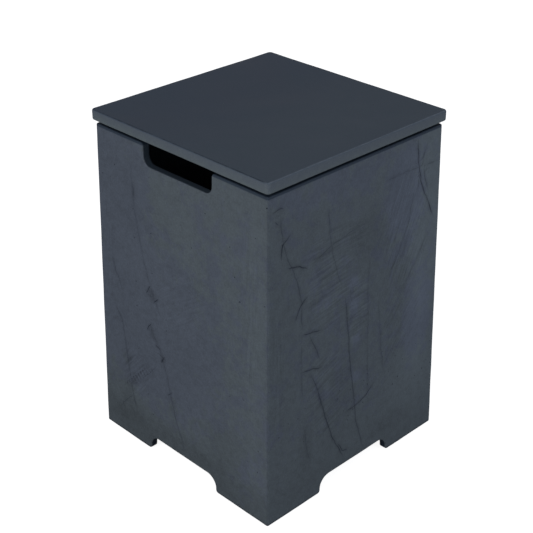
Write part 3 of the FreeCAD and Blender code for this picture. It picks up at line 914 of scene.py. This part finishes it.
# Wear of the face starts to show at one distance from the middle and shows in full further to the
# right, and the clouds shift both. The line along the edge is pale this near to the right side.
WORN_FROM = -0.04
WORN_TO = 0.15
WORN_STRAY = 0.12
PALE_SIDE = 0.012

# How far the clouds and the grit stand out.
TOP_SWELL_HEIGHT = 0.0002
TOP_GRIT_HEIGHT = 0.00002

top_low, top_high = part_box("table_top")
block_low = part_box("lid_locator_back_right")[0]
insert_low, insert_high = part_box("screw_inserts")
screw_close = insert_high.x - INSERT_RADIUS
screw_far = block_low.x + SCREW_END_DISTANCE
SCREW_PLACES = [(side_x * x, side_y * y) for side_x in (-1, 1) for side_y in (-1, 1)
                for x, y in ((screw_far, screw_close), (screw_close, screw_far))]


def make_top_mesh():
    """The slab with its edges eased and a blind socket for each insert."""
    slab = frustum("top_slab", top_high.x, top_high.x, top_low.z, top_high.z, TOP_CORNER_RADIUS)
    mesh = bmesh.new()
    mesh.from_mesh(slab.data)
    ease_edges(mesh, TOP_EDGE_EASE)
    mesh.to_mesh(slab.data)
    mesh.free()
    sockets = []
    for number, place in enumerate(SCREW_PLACES, start=1):
        outline = arc(place, INSERT_RADIUS + FIT_PLAY, 0, 360, SOCKET_SIDES)[:-1]
        sockets.append(solid_object("socket_%d" % number, [
            [(x, y, level) for x, y in outline]
            for level in (top_low.z - INSERT_LENGTH, top_low.z + INSERT_LENGTH)]))
    return cut_away(slab, sockets)


def add_rim(tree, parts, pattern):
    """The colour of the top's rim, and where it is. It was left as cast: greyer and mottled, and
    paler towards its lower edge."""
    lower = add_node(tree, "ShaderNodeMapRange", [
        ("Value", parts["Z"]), ("From Min", top_high.z), ("From Max", top_low.z),
        ("To Min", -0.35), ("To Max", 0.25)])
    mottled = add_node(tree, "ShaderNodeMath", [(0, pattern["mottle"]), (1, lower)],
                       operation="ADD")
    pale_share = add_node(tree, "ShaderNodeMapRange", [
        ("Value", mottled), ("From Min", 0.3), ("From Max", 0.8)])
    rim = add_node(tree, "ShaderNodeMix", [
        ("Factor", pale_share), ("A", SLATE_RIM), ("B", SLATE_RIM_PALE)], data_type="RGBA")
    return rim, add_node(tree, "ShaderNodeMapRange", [
        ("Value", parts["Z"]), ("From Min", top_high.z - 0.5 * TOP_EDGE_EASE),
        ("From Max", top_high.z - TOP_EDGE_EASE)])


def add_edge_line(tree, parts, pattern):
    """The colour of a fine line along the top's upper edge, and where it is. It comes and goes: dark, and
    rubbed pale on the right."""
    across, along = [add_node(tree, "ShaderNodeMath", [(0, parts[axis])], operation="ABSOLUTE")
                     for axis in ("X", "Y")]
    reach = add_node(tree, "ShaderNodeMath", [(0, across), (1, along)], operation="MAXIMUM")
    outer = add_node(tree, "ShaderNodeMapRange", [
        ("Value", reach), ("From Min", top_high.x - 0.9 * TOP_EDGE_EASE),
        ("From Max", top_high.x - 0.75 * TOP_EDGE_EASE)])
    upper = add_node(tree, "ShaderNodeMapRange", [
        ("Value", parts["Z"]), ("From Min", top_high.z - 0.45 * TOP_EDGE_EASE),
        ("From Max", top_high.z - 0.3 * TOP_EDGE_EASE)])
    patchy = add_node(tree, "ShaderNodeMapRange", [
        ("Value", pattern["mottle"]), ("From Min", 0.4), ("From Max", 0.58), ("To Min", 0.45)])
    on_line = add_node(tree, "ShaderNodeMath", [(0, outer), (1, upper)], operation="MULTIPLY")
    pale_side = add_node(tree, "ShaderNodeMapRange", [
        ("Value", parts["X"]), ("From Min", top_high.x - PALE_SIDE),
        ("From Max", top_high.x - TOP_EDGE_EASE)])
    line = add_node(tree, "ShaderNodeMix", [
        ("Factor", pale_side), ("A", DARK_EDGE_LINE), ("B", RUBBED_EDGE)], data_type="RGBA")
    return line, add_node(tree, "ShaderNodeMath", [(0, on_line), (1, patchy)],
                          operation="MULTIPLY")


def make_trowelled_concrete():
    """The same coloured concrete, trowelled, ground and sealed: even, with tiny specks of sand."""
    material, tree = start_material("trowelled_concrete")
    place = add_node(tree, "ShaderNodeTexCoord").outputs["Object"]
    parts = add_node(tree, "ShaderNodeSeparateXYZ", [(0, place)]).outputs
    pattern = {
        name: add_node(tree, "ShaderNodeTexNoise", [
            ("Vector", place), ("Scale", per_metre(size)), ("Detail", detail),
            ("Roughness", roughness), ("Distortion", warp)])
        for name, (size, detail, roughness, warp) in TOP_PATTERNS.items()}

    # The face is clouded, and worn a little paler towards the right.
    cloud_share = add_node(tree, "ShaderNodeMapRange", [
        ("Value", pattern["clouds"]), ("From Min", 0.35), ("From Max", 0.65)])
    worn_out = add_node(tree, "ShaderNodeMath", [
        (0, pattern["clouds"]), (1, WORN_STRAY), (2, parts["X"])], operation="MULTIPLY_ADD")
    worn_share = add_node(tree, "ShaderNodeMapRange", [
        ("Value", worn_out), ("From Min", WORN_FROM), ("From Max", WORN_TO), ("To Max", 0.95)])
    grit_level = add_node(tree, "ShaderNodeMapRange", [
        ("Value", pattern["grit"]), ("From Min", 0.3), ("From Max", 0.7),
        ("To Min", 0.9), ("To Max", 1.1)])

    # Specks of sand, most of them dark and some pale.
    speck, chance = add_dots(tree, place, SPECK_SPACING_MM, empty=0.8, largest=0.12)
    pale = add_node(tree, "ShaderNodeMath", [(0, chance), (1, 0.75)], operation="GREATER_THAN")
    speck_colour = add_node(tree, "ShaderNodeMix", [
        ("Factor", pale), ("A", SPECK_DARK), ("B", SPECK_PALE)], data_type="RGBA")

    colour = SLATE_TOP
    for over, share, blend in (
            (SLATE_TOP_CLOUD, cloud_share, "MIX"),
            (SLATE_TOP_WORN, worn_share, "MIX"),
            (*add_rim(tree, parts, pattern), "MIX"),
            (grit_level, 1.0, "MULTIPLY"),
            (speck_colour, speck, "MIX"),
            (*add_edge_line(tree, parts, pattern), "MIX")):
        colour = add_node(tree, "ShaderNodeMix", [("Factor", share), ("A", colour), ("B", over)],
                          data_type="RGBA", blend_type=blend)
    relief = 0.0
    for name, rise in (("clouds", TOP_SWELL_HEIGHT), ("grit", TOP_GRIT_HEIGHT)):
        relief = add_node(tree, "ShaderNodeMath", [(0, pattern[name]), (1, rise), (2, relief)],
                          operation="MULTIPLY_ADD")
    dullness = add_node(tree, "ShaderNodeMapRange", [
        ("Value", pattern["clouds"]), ("From Min", 0.3), ("From Max", 0.7),
        ("To Min", 0.50), ("To Max", 0.60)])
    finish_material(tree, [
        ("Base Color", colour), ("Roughness", dullness), ("Specular IOR Level", 0.25)], relief)
    return material


top_mesh = make_top_mesh()
rough_cast(top_mesh, 0, top_low, top_high)
top = add_piece("cast_table_top", top_mesh)
keep_flat_shading(top)
top.data.materials.append(make_trowelled_concrete())
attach(top, "lid")
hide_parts("table_top")


# Foot pads and lid bumpers
# Round stick-on pads of black rubber, moulded with a fine matt grain. Four lift the feet off the
# floor and four keep the table top off the rim. The solids have the right shape and stay.
RUBBER = "#1C1C1D"
RUBBER_DUST = "#3A3935"
RUBBER_DUST_MM = 6
RUBBER_GRAIN_MM = 0.5
RUBBER_GRAIN_HEIGHT = 0.00004


def make_moulded_rubber():
    """Moulded rubber: nearly black and dull, with grey dust in its grain."""
    material, tree = start_material("moulded_rubber")
    place = add_node(tree, "ShaderNodeTexCoord").outputs["Object"]
    dust = add_node(tree, "ShaderNodeTexNoise", [
        ("Vector", place), ("Scale", per_metre(RUBBER_DUST_MM)), ("Detail", 5.0),
        ("Roughness", 0.65)])
    grain = add_node(tree, "ShaderNodeTexVoronoi", [
        ("Vector", place), ("Scale", per_metre(RUBBER_GRAIN_MM))])
    dust_share = add_node(tree, "ShaderNodeMapRange", [
        ("Value", dust), ("From Min", 0.48), ("From Max", 0.75), ("To Max", 0.6)])
    colour = add_node(tree, "ShaderNodeMix", [
        ("Factor", dust_share), ("A", RUBBER), ("B", RUBBER_DUST)], data_type="RGBA")
    relief = add_node(tree, "ShaderNodeMath", [(0, grain), (1, RUBBER_GRAIN_HEIGHT)],
                      operation="MULTIPLY")
    finish_material(tree, [
        ("Base Color", colour), ("Roughness", 0.82), ("Specular IOR Level", 0.35)], relief)
    return material


def give_material(prefix, material):
    """Puts the material on every CAD node whose name starts so."""
    for name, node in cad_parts.items():
        if name.startswith(prefix):
            node.data.materials.clear()
            node.data.materials.append(material)


moulded_rubber = make_moulded_rubber()
give_material("foot_pad_", moulded_rubber)
give_material("lid_bumper_", moulded_rubber)


# Locating blocks
# Four corner blocks of black glass-filled nylon, screwed under the top just inside the shell's inner
# corners. Injection moulding leaves a spark-eroded grain and faint swirls of glass on them.
NYLON = "#232426"
NYLON_SWIRL = "#2F3133"
NYLON_SWIRL_MM = 18
NYLON_GRAIN_MM = 0.6
NYLON_GRAIN_HEIGHT = 0.00003


def make_glass_filled_nylon():
    """Glass-filled nylon: satin black, with a fine even grain and paler flow swirls."""
    material, tree = start_material("glass_filled_nylon")
    place = add_node(tree, "ShaderNodeTexCoord").outputs["Object"]
    swirl = add_node(tree, "ShaderNodeTexNoise", [
        ("Vector", place), ("Scale", per_metre(NYLON_SWIRL_MM)), ("Detail", 4.0),
        ("Distortion", 1.6)])
    grain = add_node(tree, "ShaderNodeTexNoise", [
        ("Vector", place), ("Scale", per_metre(NYLON_GRAIN_MM)), ("Detail", 2.0)])
    swirl_share = add_node(tree, "ShaderNodeMapRange", [
        ("Value", swirl), ("From Min", 0.42), ("From Max", 0.66)])
    colour = add_node(tree, "ShaderNodeMix", [
        ("Factor", swirl_share), ("A", NYLON), ("B", NYLON_SWIRL)], data_type="RGBA")
    relief = add_node(tree, "ShaderNodeMath", [(0, grain), (1, NYLON_GRAIN_HEIGHT)],
                      operation="MULTIPLY")
    dullness = add_node(tree, "ShaderNodeMapRange", [
        ("Value", swirl), ("From Min", 0.3), ("From Max", 0.7), ("To Min", 0.40), ("To Max", 0.52)])
    finish_material(tree, [("Base Color", colour), ("Roughness", dullness), ("IOR", 1.53)], relief)
    return material


give_material("lid_locator_", make_glass_filled_nylon())


# Locator screws
# Eight M5 pan-head machine screws, 20 mm long, of steel with a bright zinc coat. Each sits in a
# counterbore of a block, head down, with its thread in a brass insert.
THREAD_PITCH = 0.0008
THREAD_DEPTH = 0.00045
THREAD_ROOM = 0.00002
THREAD_SIDES = 20
HEAD_SIDES = 40
HEAD_RINGS = 6
HEAD_CURVE = 5.0
RECESS_TAPER = (0.72, 0.72, 1.0)
SCREW_SIZES = {
    "Shank Radius": 0.0025,
    "Shank Length": 0.020,
    "Head Radius": 0.00475,
    "Head Height": 0.0037,
    "Head Rounding": 0.0016,
    "Recess Length": 0.0048,
    "Recess Width": 0.0011,
    "Recess Depth": 0.0019,
}
ZINC = "#B9BCC0"
ZINC_SHADE = "#8F9499"
ZINC_PATCH_MM = 1.6

screws_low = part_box("locator_screws")[0]


def start_geometry(name, sizes):
    """A geometry tree with a mesh input, a named input for each size and a material input."""
    tree = bpy.data.node_groups.new(name, "GeometryNodeTree")
    tree.interface.new_socket("Geometry", in_out="INPUT", socket_type="NodeSocketGeometry")
    for size_name in sizes:
        tree.interface.new_socket(size_name, in_out="INPUT", socket_type="NodeSocketFloat")
    tree.interface.new_socket("Material", in_out="INPUT", socket_type="NodeSocketMaterial")
    tree.interface.new_socket("Geometry", in_out="OUTPUT", socket_type="NodeSocketGeometry")
    return tree, add_node(tree, "NodeGroupInput").outputs


def finish_geometry(tree, given, shape):
    """Ends a geometry tree: the shape at every point of the mesh, made real, in its material."""
    points = add_node(tree, "GeometryNodeMeshToPoints", [("Mesh", given["Geometry"])])
    placed = add_node(tree, "GeometryNodeInstanceOnPoints", [
        ("Points", points), ("Instance", shape)])
    real = add_node(tree, "GeometryNodeRealizeInstances", [("Geometry", placed)])
    finished = add_node(tree, "GeometryNodeSetMaterial", [
        ("Geometry", real), ("Material", given["Material"])])
    add_node(tree, "NodeGroupOutput", [("Geometry", finished)])


def add_screw_head(tree, given):
    """A disc whose lower face domes down to its rim, with a cross recess in it."""
    head = add_node(tree, "GeometryNodeMeshCylinder", [
        ("Vertices", HEAD_SIDES), ("Side Segments", 1), ("Fill Segments", HEAD_RINGS),
        ("Radius", given["Head Radius"]), ("Depth", given["Head Height"])])
    spot = add_node(tree, "GeometryNodeInputPosition")
    parts = add_node(tree, "ShaderNodeSeparateXYZ", [(0, spot)]).outputs
    flat_spot = add_node(tree, "ShaderNodeCombineXYZ", [("X", parts["X"]), ("Y", parts["Y"])])
    from_axis = add_node(tree, "ShaderNodeVectorMath", [(0, flat_spot)], operation="LENGTH")
    out = add_node(tree, "ShaderNodeMath", [(0, from_axis), (1, given["Head Radius"])],
                   operation="DIVIDE")
    curved = add_node(tree, "ShaderNodeMath", [(0, out), (1, HEAD_CURVE)], operation="POWER")
    rise = add_node(tree, "ShaderNodeMath", [(0, curved), (1, given["Head Rounding"])],
                    operation="MULTIPLY")
    rise_by = add_node(tree, "ShaderNodeCombineXYZ", [("Z", rise)])
    below = add_node(tree, "ShaderNodeMath", [(0, parts["Z"]), (1, 0.0)], operation="LESS_THAN")
    domed = add_node(tree, "GeometryNodeSetPosition", [
        ("Geometry", head), ("Selection", below), ("Offset", rise_by)])

    # The recess is two crossed bars, narrower at the bottom, cut out of the head.
    half_head = add_node(tree, "ShaderNodeMath", [(0, given["Head Height"]), (1, -0.5)],
                         operation="MULTIPLY")
    crown = add_node(tree, "ShaderNodeCombineXYZ", [("Z", half_head)])
    bar_depth = add_node(tree, "ShaderNodeMath", [(0, given["Recess Depth"]), (1, 2.0)],
                         operation="MULTIPLY")
    inner = add_node(tree, "ShaderNodeMath", [(0, parts["Z"]), (1, 0.0)], operation="GREATER_THAN")
    taper = add_node(tree, "ShaderNodeVectorMath", [(0, spot), (1, RECESS_TAPER)],
                     operation="MULTIPLY")
    cut = [("Mesh 1", domed)]
    for size_x, size_y in (("Recess Length", "Recess Width"), ("Recess Width", "Recess Length")):
        bar_size = add_node(tree, "ShaderNodeCombineXYZ", [
            ("X", given[size_x]), ("Y", given[size_y]), ("Z", bar_depth)])
        bar = add_node(tree, "GeometryNodeMeshCube", [("Size", bar_size)])
        tapered = add_node(tree, "GeometryNodeSetPosition", [
            ("Geometry", bar), ("Selection", inner), ("Position", taper)])
        sunk = add_node(tree, "GeometryNodeTransform", [
            ("Geometry", tapered), ("Translation", crown)])
        cut.append(("Mesh 2", sunk))
    recess = add_node(tree, "GeometryNodeMeshBoolean", cut, operation="DIFFERENCE", solver="EXACT")
    return add_node(tree, "GeometryNodeTransform", [("Geometry", recess), ("Translation", crown)])


def add_screw_shank(tree, given):
    """A core, and a triangular thread wound round it."""
    core_radius = add_node(tree, "ShaderNodeMath", [(0, given["Shank Radius"]), (1, THREAD_DEPTH)],
                           operation="SUBTRACT")
    core = add_node(tree, "GeometryNodeMeshCylinder", [
        ("Vertices", THREAD_SIDES), ("Radius", core_radius), ("Depth", given["Shank Length"])])
    half_shank = add_node(tree, "ShaderNodeMath", [(0, given["Shank Length"]), (1, 0.5)],
                          operation="MULTIPLY")
    core_middle = add_node(tree, "ShaderNodeCombineXYZ", [("Z", half_shank)])
    stood = add_node(tree, "GeometryNodeTransform", [
        ("Geometry", core), ("Translation", core_middle)])
    thread_length = add_node(tree, "ShaderNodeMath", [
        (0, given["Shank Length"]), (1, 2 * THREAD_PITCH)], operation="SUBTRACT")
    turns = add_node(tree, "ShaderNodeMath", [(0, thread_length), (1, THREAD_PITCH)],
                     operation="DIVIDE")
    crest_path = add_node(tree, "ShaderNodeMath", [
        (0, given["Shank Radius"]), (1, 0.5 * THREAD_DEPTH)], operation="SUBTRACT")
    spiral = add_node(tree, "GeometryNodeCurveSpiral", [
        ("Resolution", THREAD_SIDES), ("Rotations", turns), ("Start Radius", crest_path),
        ("End Radius", crest_path), ("Height", thread_length)])
    raised = add_node(tree, "GeometryNodeTransform", [
        ("Geometry", spiral), ("Translation", (0, 0, THREAD_PITCH))])
    ridge = add_node(tree, "GeometryNodeCurvePrimitiveCircle", [
        ("Resolution", 4), ("Radius", 0.5 * THREAD_DEPTH - THREAD_ROOM)])
    thread = add_node(tree, "GeometryNodeCurveToMesh", [
        ("Curve", raised), ("Profile Curve", ridge), ("Fill Caps", True)])
    return stood, thread


def make_screw_tree():
    """A screw with its seat at the point, its head below and its shank above."""
    tree, given = start_geometry("pan_head_screws", SCREW_SIZES)
    head = add_screw_head(tree, given)
    core, thread = add_screw_shank(tree, given)
    screw = add_node(tree, "GeometryNodeJoinGeometry", [(0, head), (0, core), (0, thread)])
    finish_geometry(tree, given, screw)
    return tree


def grow(name, level, tree, sizes, material):
    """Runs a geometry tree on points at the screws' places, all at this level, and gives the result
    as a piece with a plain mesh."""
    seeds = bpy.data.meshes.new(name + "_places")
    seeds.from_pydata([(x, y, level) for x, y in SCREW_PLACES], [], [])
    piece = add_piece(name, seeds)
    maker = piece.modifiers.new(name, "NODES")
    maker.node_group = tree
    sockets = {s.name: s.identifier for s in tree.interface.items_tree if s.in_out == "INPUT"}
    for size_name, amount in sizes.items():
        maker[sockets[size_name]] = amount
    maker[sockets["Material"]] = material
    graph = bpy.context.evaluated_depsgraph_get()
    grown = bpy.data.meshes.new_from_object(piece.evaluated_get(graph))
    grown.name = name
    piece.modifiers.remove(maker)
    piece.data = grown
    bpy.data.meshes.remove(seeds)
    return piece


def make_zinc_plated_steel():
    """Bright zinc on steel: a cool grey metal with soft patches from the bath."""
    material, tree = start_material("zinc_plated_steel")
    place = add_node(tree, "ShaderNodeTexCoord").outputs["Object"]
    patches = add_node(tree, "ShaderNodeTexNoise", [
        ("Vector", place), ("Scale", per_metre(ZINC_PATCH_MM)), ("Detail", 4.0)])
    patch_share = add_node(tree, "ShaderNodeMapRange", [
        ("Value", patches), ("From Min", 0.4), ("From Max", 0.65)])
    colour = add_node(tree, "ShaderNodeMix", [
        ("Factor", patch_share), ("A", ZINC), ("B", ZINC_SHADE)], data_type="RGBA")
    dullness = add_node(tree, "ShaderNodeMapRange", [
        ("Value", patches), ("From Min", 0.3), ("From Max", 0.7),
        ("To Min", 0.26), ("To Max", 0.42)])
    finish_material(tree, [("Base Color", colour), ("Metallic", 1.0), ("Roughness", dullness)])
    return material


screws = grow("pan_head_screws", screws_low.z + SCREW_SIZES["Head Height"], make_screw_tree(),
              SCREW_SIZES, make_zinc_plated_steel())
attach(screws, "lid")
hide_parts("locator_screws")


# Screw inserts
# Eight turned brass inserts, 8 mm across and 12 mm long, cast into the underside of the table top.
# A straight knurl round both ends stops each from turning, and a waist between them holds it in.
KNURL_RIDGES = 24
INSERT_RINGS = 24
INSERT_SIZES = {
    "Body Radius": INSERT_RADIUS,
    "Body Length": INSERT_LENGTH,
    "Knurl Depth": 0.00025,
    "Waist Depth": 0.0006,
    "Waist Length": 0.004,
    "Bore Radius": 0.00255,
}
BRASS = "#DDC490"
BRASS_TARNISH = "#B89A5E"
TARNISH_MM = 3
LATHE_RING_MM = 0.3
LATHE_SPREAD_MM = 12


def make_insert_tree():
    """An insert with its middle at the point."""
    tree, given = start_geometry("knurled_inserts", INSERT_SIZES)

    # Every other column of the body is sunk for the knurl, and its middle for the waist.
    body = add_node(tree, "GeometryNodeMeshCylinder", [
        ("Vertices", 2 * KNURL_RIDGES), ("Side Segments", INSERT_RINGS),
        ("Radius", given["Body Radius"]), ("Depth", given["Body Length"])])
    spot = add_node(tree, "GeometryNodeInputPosition")
    parts = add_node(tree, "ShaderNodeSeparateXYZ", [(0, spot)]).outputs
    number = add_node(tree, "GeometryNodeInputIndex")
    column = add_node(tree, "ShaderNodeMath", [(0, number), (1, 2.0)], operation="MODULO")
    knurl = add_node(tree, "ShaderNodeMath", [(0, column), (1, given["Knurl Depth"])],
                     operation="MULTIPLY")
    level = add_node(tree, "ShaderNodeMath", [(0, parts["Z"])], operation="ABSOLUTE")
    half_waist = add_node(tree, "ShaderNodeMath", [(0, given["Waist Length"]), (1, 0.5)],
                          operation="MULTIPLY")
    at_waist = add_node(tree, "ShaderNodeMath", [(0, level), (1, half_waist)],
                        operation="LESS_THAN")
    waist = add_node(tree, "ShaderNodeMath", [(0, at_waist), (1, given["Waist Depth"])],
                     operation="MULTIPLY")
    depth = add_node(tree, "ShaderNodeMath", [(0, knurl), (1, waist)], operation="MAXIMUM")
    share_in = add_node(tree, "ShaderNodeMath", [(0, depth), (1, given["Body Radius"])],
                        operation="DIVIDE")
    outward = add_node(tree, "ShaderNodeCombineXYZ", [("X", parts["X"]), ("Y", parts["Y"])])
    outward_share = add_node(tree, "ShaderNodeVectorMath", [(0, outward), ("Scale", share_in)],
                             operation="SCALE")
    inward = add_node(tree, "ShaderNodeVectorMath", [(0, outward_share), ("Scale", -1.0)],
                      operation="SCALE")
    knurled = add_node(tree, "GeometryNodeSetPosition", [("Geometry", body), ("Offset", inward)])

    # The bore for the screw goes right through.
    bore_length = add_node(tree, "ShaderNodeMath", [(0, given["Body Length"]), (1, 2.0)],
                           operation="MULTIPLY")
    bore = add_node(tree, "GeometryNodeMeshCylinder", [
        ("Vertices", 2 * KNURL_RIDGES), ("Radius", given["Bore Radius"]), ("Depth", bore_length)])
    bored = add_node(tree, "GeometryNodeMeshBoolean", [("Mesh 1", knurled), ("Mesh 2", bore)],
                     operation="DIFFERENCE", solver="EXACT")
    finish_geometry(tree, given, bored)
    return tree


def make_turned_brass():
    """Brass as it left the lathe: warm and bright, with fine rings and a little tarnish."""
    material, tree = start_material("turned_brass")
    place = add_node(tree, "ShaderNodeTexCoord").outputs["Object"]
    tarnish = add_node(tree, "ShaderNodeTexNoise", [
        ("Vector", place), ("Scale", per_metre(TARNISH_MM)), ("Detail", 4.0)])
    tarnish_share = add_node(tree, "ShaderNodeMapRange", [
        ("Value", tarnish), ("From Min", 0.42), ("From Max", 0.68)])
    colour = add_node(tree, "ShaderNodeMix", [
        ("Factor", tarnish_share), ("A", BRASS), ("B", BRASS_TARNISH)], data_type="RGBA")
    flattened = add_node(tree, "ShaderNodeMapping", [
        ("Vector", place),
        ("Scale", [per_metre(size) for size in (LATHE_SPREAD_MM, LATHE_SPREAD_MM, LATHE_RING_MM)])])
    rings = add_node(tree, "ShaderNodeTexNoise", [
        ("Vector", flattened), ("Scale", 1.0), ("Detail", 2.0)])
    dullness = add_node(tree, "ShaderNodeMapRange", [
        ("Value", rings), ("From Min", 0.3), ("From Max", 0.7), ("To Min", 0.22), ("To Max", 0.42)])
    finish_material(tree, [("Base Color", colour), ("Metallic", 1.0), ("Roughness", dullness)])
    return material


inserts = grow("knurled_inserts", 0.5 * (insert_low.z + insert_high.z), make_insert_tree(),
               INSERT_SIZES, make_turned_brass())
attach(inserts, "lid")
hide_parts("screw_inserts")
